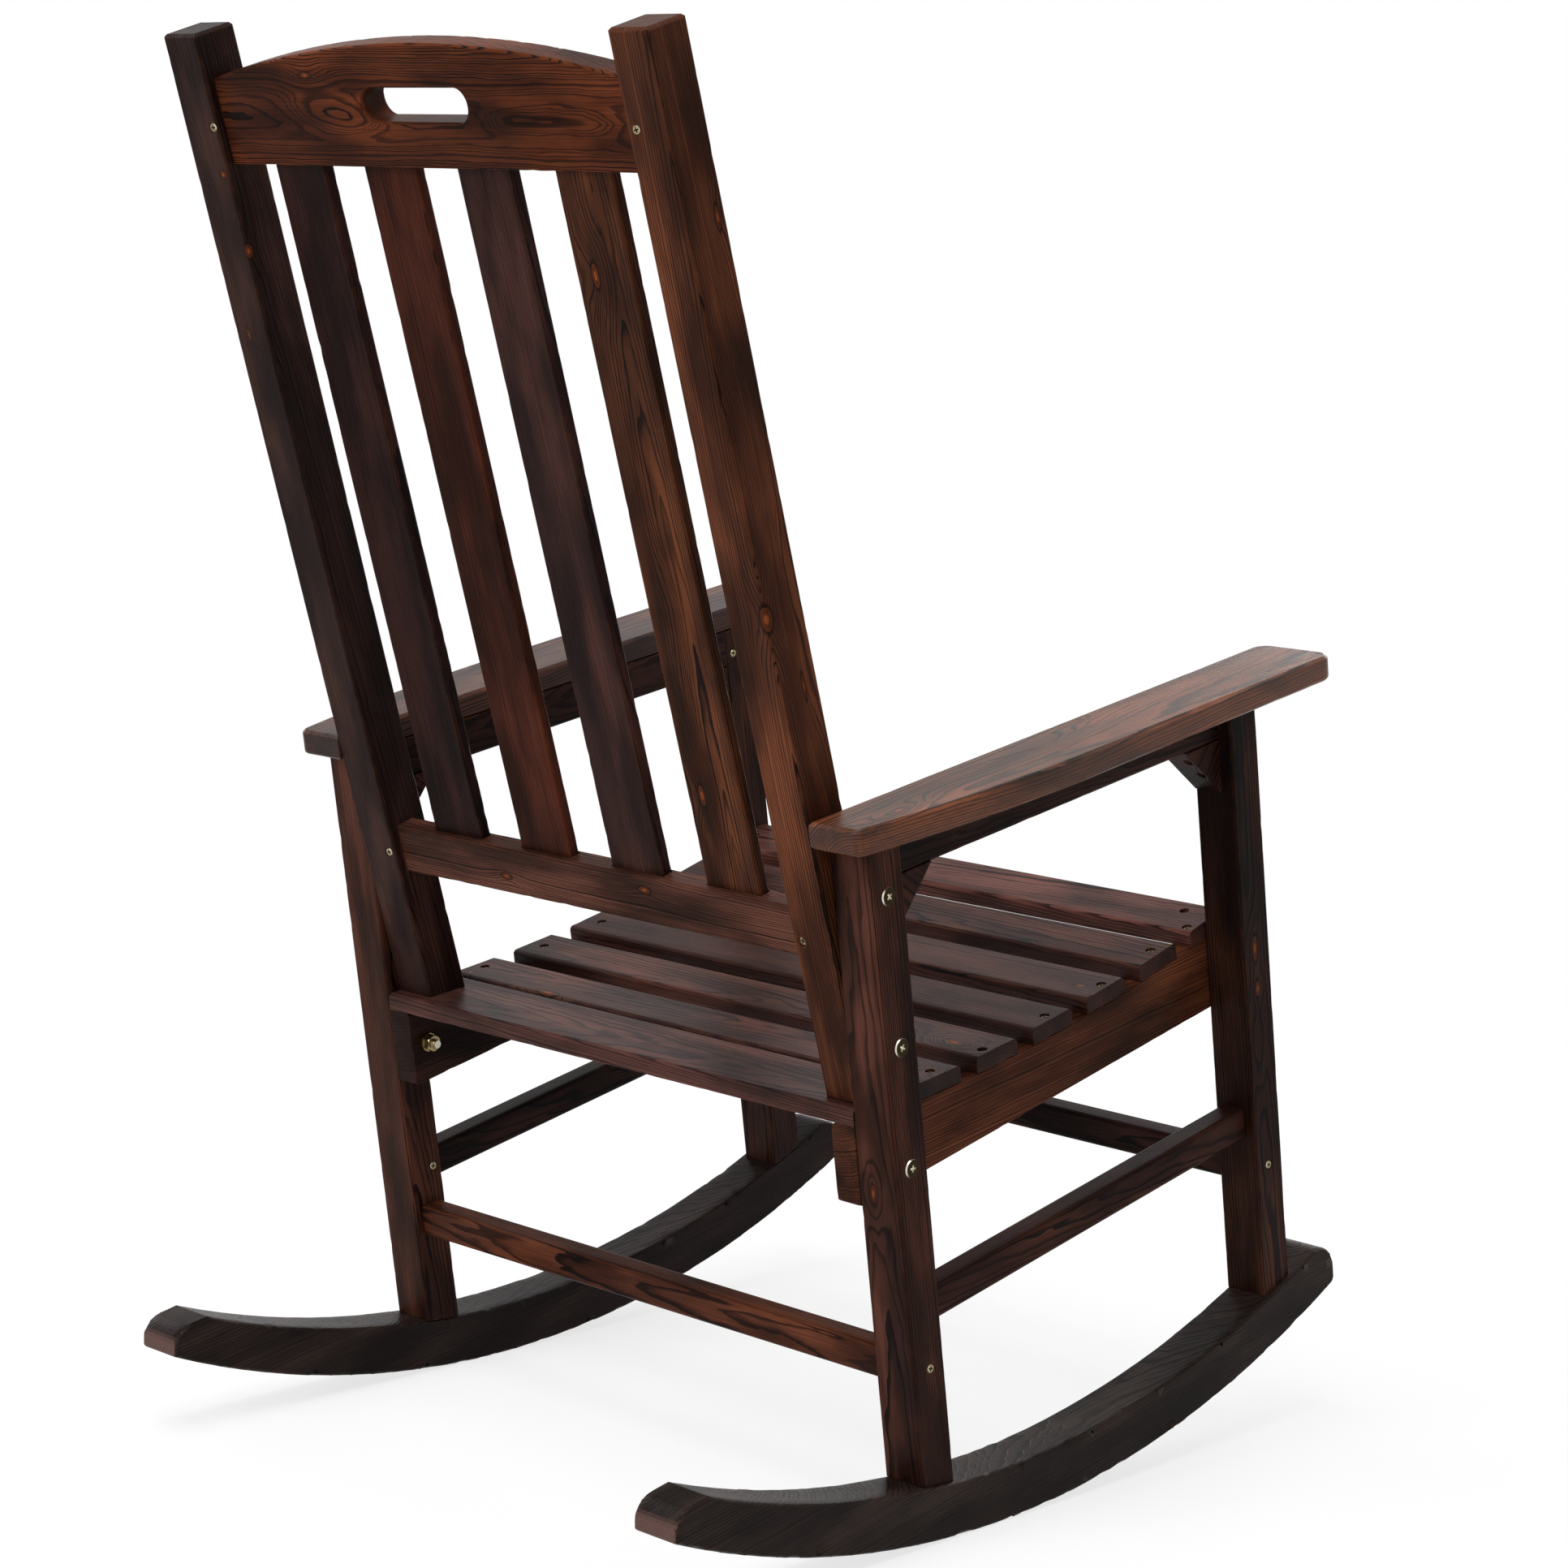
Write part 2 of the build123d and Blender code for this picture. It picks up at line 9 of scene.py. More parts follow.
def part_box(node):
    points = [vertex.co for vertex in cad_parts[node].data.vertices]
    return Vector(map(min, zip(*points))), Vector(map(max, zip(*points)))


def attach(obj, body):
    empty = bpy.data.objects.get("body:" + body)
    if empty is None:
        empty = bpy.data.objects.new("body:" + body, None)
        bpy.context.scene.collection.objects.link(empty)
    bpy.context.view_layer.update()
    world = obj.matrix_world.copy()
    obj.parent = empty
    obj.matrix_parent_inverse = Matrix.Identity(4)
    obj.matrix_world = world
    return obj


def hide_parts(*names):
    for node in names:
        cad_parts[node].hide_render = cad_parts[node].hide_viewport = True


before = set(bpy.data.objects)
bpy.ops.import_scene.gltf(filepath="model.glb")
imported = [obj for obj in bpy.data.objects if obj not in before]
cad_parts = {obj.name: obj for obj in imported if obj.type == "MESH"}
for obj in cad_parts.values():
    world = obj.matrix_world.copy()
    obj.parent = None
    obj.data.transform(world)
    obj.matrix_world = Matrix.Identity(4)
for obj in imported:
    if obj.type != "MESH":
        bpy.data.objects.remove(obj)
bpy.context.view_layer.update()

# ---- Rockers -------------------------------------------------------------
# Two curved runners, each sawn from one plank of knotty softwood. The wood was
# scorched and brushed, stained dark red-brown and given a thin satin varnish.

REST_TILT = radians(10.81)
ACROSS = Vector((1, 0, 0))
UP = Vector((0, sin(REST_TILT), cos(REST_TILT)))
REARWARD = Vector((0, cos(REST_TILT), -sin(REST_TILT)))
MM = 0.001


def linear(code):
    """Linear colour of an sRGB hex value."""
    channels = [int(code[i:i + 2], 16) / 255 for i in (0, 2, 4)]
    return (*[c / 12.92 if c <= 0.04045 else ((c + 0.055) / 1.055) ** 2.4 for c in channels], 1)


def put(tree, kind, *values, out=0, **settings):
    """Adds a node with its settings and links, and gives one of its outputs. Values
    fill the inputs in order, and a last dict fills them by name or number."""
    node = tree.nodes.new(kind if "Node" in kind else "ShaderNode" + kind)
    for name, value in settings.items():
        setattr(node, name, value)
    named = values[-1] if values and isinstance(values[-1], dict) else {}
    ordered = values[:-1] if named else values
    for key, value in [*enumerate(ordered), *named.items()]:
        for source in value if isinstance(value, list) else [value]:
            if isinstance(source, bpy.types.NodeSocket):
                tree.links.new(source, node.inputs[key])
            else:
                node.inputs[key].default_value = source
    return node.outputs[out] if node.outputs else node


def blank_material(name):
    """A material with an empty node tree, and the node function tied to that tree."""
    material = bpy.data.materials.new(name)
    material.use_nodes = True
    material.node_tree.nodes.clear()
    return material, partial(put, material.node_tree)


# Scorched wood, and the roughness of the varnish on the smooth and on the fibres.
SCORCH_BLACK = "120c0b"
SATIN_ROUGH, FIBRE_ROUGH = 0.22, 0.3
# Ridges in millimetres that brushing leaves on the autumn lines and the fibres.
AUTUMN_RIDGE, FIBRE_RIDGE = 0.22, 0.16


def make_grain():
    """Sawn softwood in millimetres, with x along the grain: rings round a pith,
    so faces show long arches, edges show lines and ends show curved rings."""
    tree = bpy.data.node_groups.new("brushed_softwood_grain", "ShaderNodeTree")
    node = partial(put, tree)
    for name, kind in (
        ("Place", "Vector"), ("Pith", "Vector"), ("Run", "Vector"), ("Ring", "Float"), ("Seed", "Float"),
        ("Wander", "Float"), ("Swell", "Float"), ("Early", "Color"), ("Late", "Color"), ("Char", "Float"),
    ):
        tree.interface.new_socket(name, in_out="INPUT", socket_type="NodeSocket" + kind)
    for name, kind in (("Color", "Color"), ("Rough", "Float"), ("Height", "Float")):
        tree.interface.new_socket(name, in_out="OUTPUT", socket_type="NodeSocket" + kind)
    start = tree.nodes.new("NodeGroupInput").outputs
    place = start["Place"]
    # The seed gives each board its own place in the noises.
    shift = node("VectorMath", {0: (131, 57, 91), 3: start["Seed"]}, operation="SCALE")
    moved = node("VectorMath", place, shift, operation="ADD")

    # Noises drawn out along the grain, each with its stretch and size in millimetres.
    # The fibres are under a millimetre wide and drawn a little coarser to show.
    noises = []
    for stretch, size, detail in (
        (0.12, 48, 2.0), (0.22, 15, 2.0), (0.16, 5, 2.0),
        (0.012, 1.3, 3.0), (0.25, 34, 3.0), (0.35, 62, 4.0),
    ):
        drawn = node("VectorMath", moved, (stretch, 1, 1), operation="MULTIPLY")
        noises.append(node("TexNoise", {"Vector": drawn, "Scale": 1 / size, "Detail": detail}))
    bend, waver, ripple, fibre, patch, cloud = noises

    # Distance from the pith, which leans, wanders by some millimetres and swells round
    # the knots.
    along = node("SeparateXYZ", place)
    lean = node("VectorMath", {0: start["Run"], 3: along}, operation="SCALE")
    away = node("VectorMath", place, start["Pith"], operation="SUBTRACT")
    away = node("VectorMath", away, lean, operation="SUBTRACT")
    away = node("VectorMath", away, (0, 1, 1), operation="MULTIPLY")
    radius = node("VectorMath", away, operation="LENGTH", out=1)
    for field, reach in ((bend, start["Wander"]), (waver, 3.2), (ripple, 1.1)):
        centred = node("Math", field, 0.5, operation="SUBTRACT")
        radius = node("Math", centred, reach, radius, operation="MULTIPLY_ADD")
    radius = node("Math", radius, start["Swell"], operation="ADD")

    # Years of unequal growth, each pale in spring and hard and dark in autumn, which
    # comes and goes at these shares of the year. Good and poor spells of about four
    # years crowd the rings or spread them.
    autumn_begins, autumn_full, autumn_fades = 0.48, 0.84, 0.94
    spells_per_year, crowding = 0.23, 2.6
    faintest_line, line_spread = 0.62, 0.45
    years = node("Math", radius, start["Ring"], operation="DIVIDE")
    spell = node("Math", years, spells_per_year, operation="MULTIPLY")
    spell = node("TexNoise", {"W": spell, "Detail": 1.0, "Scale": 1.0}, noise_dimensions="1D")
    years = node("Math", spell, crowding, years, operation="MULTIPLY_ADD")
    season = node("Math", years, operation="FRACT")
    year = node("Math", node("Math", years, operation="FLOOR"), start["Seed"], operation="ADD")
    vigour = node("TexWhiteNoise", {"W": year}, noise_dimensions="1D")
    vigour = node("Math", vigour, line_spread, faintest_line, operation="MULTIPLY_ADD")
    rise = node("MapRange", season, autumn_begins, autumn_full, interpolation_type="SMOOTHSTEP")
    fall = node("MapRange", season, 1.0, autumn_fades, interpolation_type="SMOOTHSTEP")
    late = node("Math", node("Math", rise, fall, operation="MULTIPLY"), vigour, operation="MULTIPLY")

    # Paler and darker patches, streaked by the fibres, with scorches over them. The
    # patches and streaks are factors on the wood's colour.
    dark_patch, pale_patch = 0.5, 1.65
    faintest_streak, streak_spread = 0.40, 1.2
    glow = node("MapRange", patch, 0.34, 0.66, dark_patch, pale_patch, interpolation_type="SMOOTHSTEP")
    cloud = node("MapRange", cloud, 0.42, 0.58, interpolation_type="SMOOTHSTEP")
    colour = node("Mix", {0: late, 6: start["Early"], 7: start["Late"]}, data_type="RGBA", out=2)
    shade = node("Math", fibre, streak_spread, faintest_streak, operation="MULTIPLY_ADD")
    shade = node("Math", shade, glow, operation="MULTIPLY")
    grey = node("CombineColor", shade, shade, shade)
    colour = node("Mix", {0: 1.0, 6: colour, 7: grey}, data_type="RGBA", blend_type="MULTIPLY", out=2)
    scorch = node("Math", cloud, start["Char"], operation="MULTIPLY")
    colour = node("Mix", {0: scorch, 6: colour, 7: linear(SCORCH_BLACK)}, data_type="RGBA", out=2)
    rough = node("Math", fibre, FIBRE_ROUGH, SATIN_ROUGH, operation="MULTIPLY_ADD")
    fine = node("Math", fibre, FIBRE_RIDGE, operation="MULTIPLY")
    height = node("Math", late, AUTUMN_RIDGE, fine, operation="MULTIPLY_ADD")
    put(tree, "NodeGroupOutput", {"Color": colour, "Rough": rough, "Height": height})
    return tree


grain = make_grain()
VARNISH_IOR = 1.5
# The light and dark bands from a knot's middle to its bark, and the size of a
# rubbed patch in millimetres.
KNOT_RINGS = 2.6
RUBBED_PATCH = 20
# Shares of a knot's size where its bark starts and where its stain ends.
BARK_STARTS, STAIN_ENDS = 0.62, 1.4


def varnished_softwood(
    name, centre, along, width, seed, early, late, char=0.5, ring=1.8, pith=(4, 34), run=(0.01, 0.02),
    wander=8.0, worn="74401f", wear=0.5, gloss=0.03, ease=2.0, end_stain=SCORCH_BLACK,
    knots=(),
):
    """Scorched, brushed and stained softwood under a thin, rubbed satin varnish, for one
    board: dark autumn lines over red-brown, near-black scorches, corners rubbed to
    paler wood, a colour that also paints the highlights their edges catch, and ends
    in a tone of their own. Each knot is its middle and its reach along, across and
    through the board, how far it pushes the grain, and its own share of the reach."""
    material, node = blank_material(name)
    along = along.normalized()
    side = (width - along * width.dot(along)).normalized()
    turn = Matrix((along, side, along.cross(side))).transposed().to_euler()
    coordinates = node("TexCoord", out="Object")
    place = node("Mapping", coordinates, centre, turn, (MM, MM, MM), vector_type="TEXTURE")
    swell, cores = 0.0, []
    for middle, reach, push, core in knots:
        gap = node("VectorMath", place, middle, operation="SUBTRACT")
        gap = node("VectorMath", gap, tuple(reach), operation="DIVIDE")
        gap = node("VectorMath", gap, operation="LENGTH", out=1)
        square = node("Math", node("Math", gap, gap, operation="MULTIPLY"), -1.0, operation="MULTIPLY")
        nearness = node("Math", square, operation="EXPONENT")
        swell = node("Math", nearness, push, swell, operation="MULTIPLY_ADD")
        if core:
            cores.append((gap, core))
    wood = node(
        "Group",
        {"Place": place, "Pith": (0, *pith), "Run": (0, *run), "Ring": ring, "Seed": seed, "Wander": wander,
         "Swell": swell, "Early": linear(early), "Late": linear(late), "Char": char},
        node_tree=grain,
    ).node.outputs
    colour = wood["Color"]
    for gap, core in cores:
        # A knot's own rings, orange to brown, inside a black ring of bark.
        rings = node("Math", gap, KNOT_RINGS * pi / core, operation="MULTIPLY")
        rings = node("Math", rings, operation="SINE")
        rings = node("MapRange", rings, -0.6, 0.9, interpolation_type="SMOOTHSTEP")
        tone = node("Mix", {0: rings, 6: linear("45200f"), 7: linear("7a3e1c")}, data_type="RGBA", out=2)
        bark = node("MapRange", gap, core * BARK_STARTS, core, interpolation_type="SMOOTHSTEP")
        tone = node("Mix", {0: bark, 6: tone, 7: linear("120907")}, data_type="RGBA", out=2)
        inside = node("MapRange", gap, core * STAIN_ENDS, core, 0.0, 0.9, interpolation_type="SMOOTHSTEP")
        colour = node("Mix", {0: inside, 6: colour, 7: tone}, data_type="RGBA", out=2)
    # Corners rubbed to paler wood over the width that the planer eased, in patches,
    # where they turn 10 to 37 degrees off the flat. The same pale colour paints the
    # highlights that these eased edges catch. The limits are the cosines.
    rounded = node("Bevel", {"Radius": ease * MM}, samples=4)
    true_normal = node("NewGeometry", out="True Normal")
    flat = node("VectorMath", rounded, true_normal, operation="DOT_PRODUCT", out=1)
    corner = node("MapRange", flat, 0.985, 0.80, interpolation_type="SMOOTHSTEP")
    patch = node("TexNoise", {"Vector": place, "Scale": 1 / RUBBED_PATCH, "Detail": 6.0})
    patch = node("MapRange", patch, 0.45, 0.60, 0.0, wear, interpolation_type="SMOOTHSTEP")
    corner = node("Math", corner, patch, operation="MULTIPLY")
    colour = node("Mix", {0: corner, 6: colour, 7: linear(worn)}, data_type="RGBA", out=2)
    # End grain takes a tone of its own, darker than the faces except on the rockers,
    # where the surface comes within 46 to 18 degrees of square to the grain.
    facing = node("VectorMath", true_normal, tuple(along), operation="DOT_PRODUCT", out=1)
    facing = node("Math", facing, operation="ABSOLUTE")
    ends = node("MapRange", facing, 0.7, 0.95, 0.0, 0.4, interpolation_type="SMOOTHSTEP")
    colour = node("Mix", {0: ends, 6: colour, 7: linear(end_stain)}, data_type="RGBA", out=2)
    bump = node("Bump", {"Strength": 0.9, "Distance": MM, "Height": wood["Height"], "Normal": rounded})
    shader = node(
        "BsdfPrincipled",
        {"Base Color": colour, "Roughness": wood["Rough"], "IOR": VARNISH_IOR, "Specular IOR Level": gloss,
         "Normal": bump},
    )
    node("OutputMaterial", shader)
    return material


def new_piece(name, mesh):
    """An object for a mesh, in the scene."""
    piece = bpy.data.objects.new(name, mesh)
    bpy.context.scene.collection.objects.link(piece)
    return piece


# Points nearer than this are one, and faces that meet flatter than this are one.
TOUCHING, FLAT_ANGLE = 0.001 * MM, radians(0.4)
# Corners sharper than the first angle wear, and shading breaks past the second.
WORN_ANGLE, SHARP_ANGLE = radians(20), radians(28)
# The sizes of the noises behind the dents and the waves. Only peaks above the level
# dent the wood, and the cuts that let a corner wear keep off the board's ends.
DENTS_PER_METRE, WAVES_PER_METRE = 95, 25
DENT_LEVEL = 0.18
UNCUT_RIM = 3.5 * MM
# The cosine above which a face counts as square to a direction.
SQUARE = 0.9999


def worn_board(name, along, width, seed, nick=0.7, wave=0.2, step=7, screws=(), bolt_hole=None, **looks):
    """A board of the frame with its corners nicked and rubbed by use, in its own wood.
    Nick, wave and step are in millimetres. Wood only comes off, and flats stay flat."""
    low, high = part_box(name)
    centre = (low + high) / 2
    along = along.normalized()
    across = (width - along * width.dot(along)).normalized()
    through = along.cross(across)
    body = bmesh.new()
    body.from_mesh(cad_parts[name].data)
    bmesh.ops.remove_doubles(body, verts=body.verts, dist=TOUCHING)
    if bolt_hole:
        close_hole(body, bolt_hole)
    bmesh.ops.dissolve_limit(body, angle_limit=FLAT_ANGLE, verts=body.verts, edges=body.edges)
    for facing in (across, through, along):
        reach = [(vertex.co - centre).dot(facing) for vertex in body.verts]
        low_end, high_end = min(reach) + UNCUT_RIM, max(reach) - UNCUT_RIM
        count = max(1, round((high_end - low_end) / (step * MM)))
        for number in range(count + 1):
            everything = body.verts[:] + body.edges[:] + body.faces[:]
            spot = centre + facing * (low_end + (high_end - low_end) * number / count)
            bmesh.ops.bisect_plane(body, geom=everything, dist=TOUCHING, plane_co=spot, plane_no=facing)
    bmesh.ops.triangulate(body, faces=body.faces[:])
    body.normal_update()
    shift = Vector((seed * 3.1, seed * 1.7, seed * 2.3))
    moves = []
    for vertex in body.verts:
        if max((edge.calc_face_angle(0) for edge in vertex.link_edges), default=0) < WORN_ANGLE:
            continue
        dent = max(0, noise.noise(vertex.co * DENTS_PER_METRE + shift) - DENT_LEVEL) * nick * 2
        ripple = noise.noise(vertex.co * WAVES_PER_METRE + shift)
        depth = dent + wave * (0.5 + 0.5 * ripple)
        # On a flat face a corner slides within that face.
        inward = -vertex.normal
        for facing in (through, across, along):
            if any(abs(face.normal.dot(facing)) > SQUARE for face in vertex.link_faces):
                inward -= facing * inward.dot(facing)
                break
        moves.append((vertex, inward.normalized() * depth * MM))
    for vertex, move in moves:
        vertex.co += move
    for face in body.faces:
        face.smooth = True
    for edge in body.edges:
        edge.smooth = edge.calc_face_angle(0) < SHARP_ANGLE
    mesh = bpy.data.meshes.new(name + "_wood")
    body.to_mesh(mesh)
    body.free()
    board = new_piece(name + "_wood", mesh)
    if screws:
        drill_holes(board, screws)
    wood = varnished_softwood(f"varnished_softwood_{name}", centre, along, width, seed, **looks)
    board.data.materials.clear()
    board.data.materials.append(wood)
    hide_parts(name)
    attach(board, "root")


# Sawn curves leave wavy edges, and the dark stain hides most of the figure.
for hand, seed, early, late in (("left", 1.3, "241a17", "0f0a09"), ("right", 2.3, "2b211d", "130d0b")):
    worn_board(f"rocker_{hand}", REARWARD, UP, seed, nick=1.2, wave=0.7, step=8, early=early, late=late,
               gloss=0.05, pith=(120, 30), ring=2.0, worn="5a3a28", wear=0.4, end_stain="80605a")

# ---- Legs ----------------------------------------------------------------
# Four straight square legs of softwood, planed on four sides, their edges eased
# by hand. Each has one screw in its outer face and one in its inner face.

# A screw hole's radius at the surface and its share of taper, a little more than a
# bolt hole's radius, and less than the distance between two bolts.
HOLE_RADIUS = 4.4 * MM
HOLE_TAPER = 0.15
HOLE_WALL = 5.0 * MM
BOLTS_APART = 25 * MM
# The faces of the legs from the chair's middle, and how deep their screws lie.
LEG_OUTER, LEG_INNER = 310, 270
LEG_SCREW_SINK = 1.0
# The centre of the rockers' arc, in the world and with the legs upright.
ARC_CENTRE = Vector((0, 34.717, 960)) * MM
ARC_CENTRE_Y, ARC_CENTRE_HEIGHT = -245, 960
screw_seats = []


def apply_modifiers(piece):
    """Makes a piece's modifiers part of its mesh."""
    bpy.context.view_layer.update()
    shown = piece.evaluated_get(bpy.context.evaluated_depsgraph_get())
    result = bpy.data.meshes.new_from_object(shown)
    piece.modifiers.clear()
    piece.data = result


def drill_holes(board, screws):
    """Sinks a tapered hole for each screw, given by its place on the wood, the way
    it faces and how deep its head lies, and notes the head's seat."""
    drill = bmesh.new()
    for spot, aim, sink in screws:
        turn = aim.to_track_quat("Z", "Y").to_matrix().to_4x4()
        bmesh.ops.create_cone(
            drill, cap_ends=True, segments=24, radius1=HOLE_RADIUS * (1 - HOLE_TAPER),
            radius2=HOLE_RADIUS * (1 + HOLE_TAPER), depth=sink * MM * 2,
            matrix=Matrix.Translation(spot) @ turn,
        )
        screw_seats.append((spot - aim * sink * MM, aim))
    mesh = bpy.data.meshes.new("drill")
    drill.to_mesh(mesh)
    drill.free()
    tool = new_piece("drill", mesh)
    cut = board.modifiers.new("holes", "BOOLEAN")
    cut.object = tool
    cut.solver = "EXACT"
    apply_modifiers(board)
    bpy.data.objects.remove(tool)


def chair_place(x, y, height):
    """World place of a point given with the legs upright, in millimetres: y from the
    rear legs' rear faces, height from the rockers' lowest point."""
    level = ACROSS * x * MM + REARWARD * (y - ARC_CENTRE_Y) * MM
    return ARC_CENTRE + level + UP * (height - ARC_CENTRE_HEIGHT) * MM


def leg_screws(side, outer, inner):
    """Screws in a leg's outer and inner faces, each given by its y and height."""
    return [
        (chair_place(side * reach, *spot), ACROSS * side * way, LEG_SCREW_SINK)
        for reach, way, spots in ((LEG_OUTER, 1, outer), (LEG_INNER, -1, inner)) for spot in spots
    ]


def fastener_boxes(name):
    """Side, lowest and highest corner of each separate fastener of a node."""
    groups = []
    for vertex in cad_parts[name].data.vertices:
        spot = vertex.co
        for group in groups:
            apart = group[0] - spot
            if apart.yz.length < BOLTS_APART and group[0].x * spot.x > 0:
                group.append(spot)
                break
        else:
            groups.append([spot])
    for group in groups:
        low, high = (Vector([find(axis) for axis in zip(*group)]) for find in (min, max))
        yield (1 if low.x > 0 else -1), low, high


def close_hole(body, middle):
    """Closes the bolt hole that runs straight across a board through this place."""
    walls = [
        face for face in body.faces
        if abs(face.normal.x) < 0.5
        and all((vertex.co - middle).yz.length < HOLE_WALL for vertex in face.verts)
    ]
    bmesh.ops.delete(body, geom=walls, context="FACES")
    open_rings = [edge for edge in body.edges if edge.is_boundary]
    bmesh.ops.holes_fill(body, edges=open_rings, sides=0)


# Only the rear legs show bolts. The frame's front bolt holes are closed, and its
# front bolts, washers and nuts are left out of the pieces that replace them.
front_bolts = {side: (low + high) / 2 for side, low, high in fastener_boxes("seat_bolts") if low.y < 0}
rear_outer, rear_inner = [(-20, 170)], [(-27, 214)]
front_outer, front_inner = [(-463, 182)], [(-456, 574)]
worn_board("rear_leg_right", UP, ACROSS, 5.1, early="3e231b", late="110907", ring=2.2, pith=(6, 60),
           char=0.6, knots=(((-18.6, 5.8, 0), (26, 9, 1000), 7, 0.3),),
           screws=leg_screws(-1, rear_outer, rear_inner))
worn_board("rear_leg_left", UP, ACROSS, 6.1, early="44261c", late="130907", pith=(30, 22), char=0.4,
           screws=leg_screws(1, rear_outer, rear_inner))
worn_board("front_leg_right", UP, ACROSS, 7.1, early="331d15", late="0e0807", ring=2.4, pith=(-42, 4),
           char=0.7, knots=(((46, -20, 2), (30, 14, 9), 7, 0.4), ((-34, -20, 4), (50, 14, 10), 7, 0),
                            ((10, -20, 1), (15, 8, 8), 4, 0.5)),
           screws=leg_screws(-1, front_outer, front_inner), bolt_hole=front_bolts[-1])
worn_board("front_leg_left", UP, ACROSS, 8.1, early="3c2119", late="120a08", pith=(24, -30),
           screws=leg_screws(1, front_outer, front_inner), bolt_hole=front_bolts[1])

# ---- Seat ----------------------------------------------------------------
# Softwood side rails with a dished upper edge carry seven slats. Sunk screws hold
# the front six at both ends. The rear slat is wide and lies under the posts.

worn_board("seat_rail_right", REARWARD, UP, 11.7, early="502c1b", late="190c08", pith=(70, 12), ring=2.2,
           char=0.3, bolt_hole=front_bolts[-1])
worn_board("seat_rail_left", REARWARD, UP, 12.7, early="2c1a15", late="0f0908", pith=(60, 8),
           bolt_hole=front_bolts[1])


def broad_face(name, facing):
    """The middle of a node's box brought onto its largest flat that faces this way,
    and the way that the flat faces."""
    flats = [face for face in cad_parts[name].data.polygons if face.normal.dot(facing) > 0.9]
    largest = max(flats, key=lambda face: face.area)
    normal = largest.normal.copy()
    low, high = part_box(name)
    middle = (low + high) / 2
    return middle + normal * (largest.center - middle).dot(normal), normal


# For each slat: its screws, each given by its place along and across the slat from
# the middle and how deep its head lies, in millimetres, and its wood.
slats = (
    # The rear slat's rubbed corners are grey, a colour that also paints the sheen along its edges.
    ((), {"early": "402621", "late": "1a100e", "pith": (10, -60), "worn": "7c675b", "wear": 0.5}),
    (((258, 0, 2.4), (-258, -2, 2.4)),
     {"early": "3e221c", "late": "150b0a", "pith": (-10, -30),
      "knots": (((154.7, 21.3, 0), (30, 9, 1000), 6, 0.4), ((-225, -8, 0), (40, 14, 1000), 12, 0),
                ((258, 17, 0), (4, 4, 1000), 0, 0.9))}),
    (((253, 3, 2.4), (-262, 9, 3.2)),
     {"early": "42251e", "late": "150b0a", "pith": (14, -44),
      "knots": (((-232, 8, 0), (34, 16, 1000), 14, 0.3),)}),
    (((251, 3, 2.4), (-260, -2, 2.4)),
     {"early": "3a211b", "late": "150c0a", "pith": (60, -20), "char": 0.3}),
    (((261, -4, 2.4), (-262, -4, 2.4)),
     {"early": "3a211b", "late": "110a09", "pith": (-60, -26), "char": 0.25,
      "knots": (((-248, 6, 0), (10, 6, 1000), 2, 0.6),)}),
    (((258, -4, 2.4), (-259, -5, 2.4)),
     {"early": "3e231d", "late": "120a09", "pith": (20, -40), "char": 0.25}),
    (((258, 0, 2.4), (-240, -8, 5.0), (-261, 17, 2.4)),
     {"early": "50302a", "late": "1c0f0d", "pith": (-30, -50), "char": 0.2}),
)
for number, (places, looks) in enumerate(slats, 1):
    name = f"seat_slat_{number}"
    middle, normal = broad_face(name, UP)
    run = normal.cross(ACROSS)
    screws = [(middle + ACROSS * x * MM + run * y * MM, normal, sink) for x, y, sink in places]
    # Only a sliver of daylight parts the two front slats, so they are hardly nicked.
    nick = 0.2 if number > 5 else 0.9
    worn_board(name, ACROSS, run, 17.2 + number, nick=nick, wave=0, screws=screws, gloss=0.06, ease=0.6,
               **looks)

# ---- Stretchers ----------------------------------------------------------
# Light softwood rails with rounded edges that tie the legs together below the
# seat. The side ones are tenoned into the legs, and the cross ones butt on them.

worn_board("side_stretcher_right", REARWARD, UP, 29.4, early="3c2119", late="100807", ring=2.4,
           pith=(10, 26))
worn_board("side_stretcher_left", REARWARD, UP, 30.4, early="281814", late="0d0807")
worn_board("rear_stretcher", ACROSS, UP, 33.4, early="4e2a1b", late="140907", ring=2.4, pith=(3, 30),
           char=0.4)
worn_board("front_stretcher", ACROSS, UP, 34.4, early="2a1814", late="0d0807")

# ---- Arms ----------------------------------------------------------------
# Flat softwood arms, each on a rail tenoned between its legs, with a triangular
# bracket in each corner. The right arm is paler and glossier than the left one.

BRACKET_SCREW_SINK = 2.6
